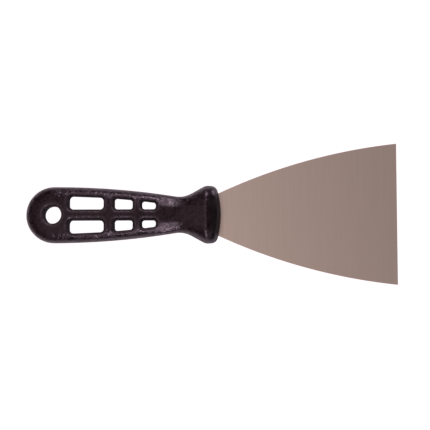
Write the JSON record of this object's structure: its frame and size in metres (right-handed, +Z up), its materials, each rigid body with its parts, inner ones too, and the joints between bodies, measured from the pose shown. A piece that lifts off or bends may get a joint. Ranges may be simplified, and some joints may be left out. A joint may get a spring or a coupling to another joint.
{
  "type": "flexible putty knife",
  "caption": "Flexible putty knife: a thin flared spring steel blade moulded into a black plastic handle with window cut-outs and a hanging hole.",
  "frame": {"origin": "under the middle of the tool's box, on the plane that the underside of the collar touches when the blade is level", "axes": "+X from the butt of the handle to the working edge, +Y across the blade, +Z up out of the flat face"},
  "size_m": [0.2094, 0.08, 0.0188],
  "materials": {
    "handle_plastic": "semi-gloss moulded plastic, near black",
    "blade_steel": "ground across its width, satin"
  },
  "bodies": {
    "handle": {"handle": "handle_plastic", "blade_tang": "blade_steel"},
    "blade_root": {"blade_root": "blade_steel"},
    "blade_middle": {"blade_middle": "blade_steel"},
    "blade_tip": {"blade_tip": "blade_steel"}
  },
  "joints": [
    {"name": "blade_flex", "type": "hinge", "parent": "handle", "child": "blade_root", "pos_m": [0.01615, 0, 0.00941], "axis": [0, -1, 0], "range_deg": [-18, 18], "stiffness_Nm_per_rad": 4},
    {"name": "blade_flex_middle", "type": "hinge", "parent": "blade_root", "child": "blade_middle", "pos_m": [0.04315, 0, 0.00941], "axis": [0, -1, 0], "range_deg": [-9.1, 9.1]},
    {"name": "blade_flex_tip", "type": "hinge", "parent": "blade_middle", "child": "blade_tip", "pos_m": [0.07515, 0, 0.00941], "axis": [0, -1, 0], "range_deg": [-3.7, 3.7]}
  ],
  "couplings": [
    {"joint": "blade_flex_middle", "follows": "blade_flex", "ratio": 0.5},
    {"joint": "blade_flex_tip", "follows": "blade_flex", "ratio": 0.2}
  ]
}
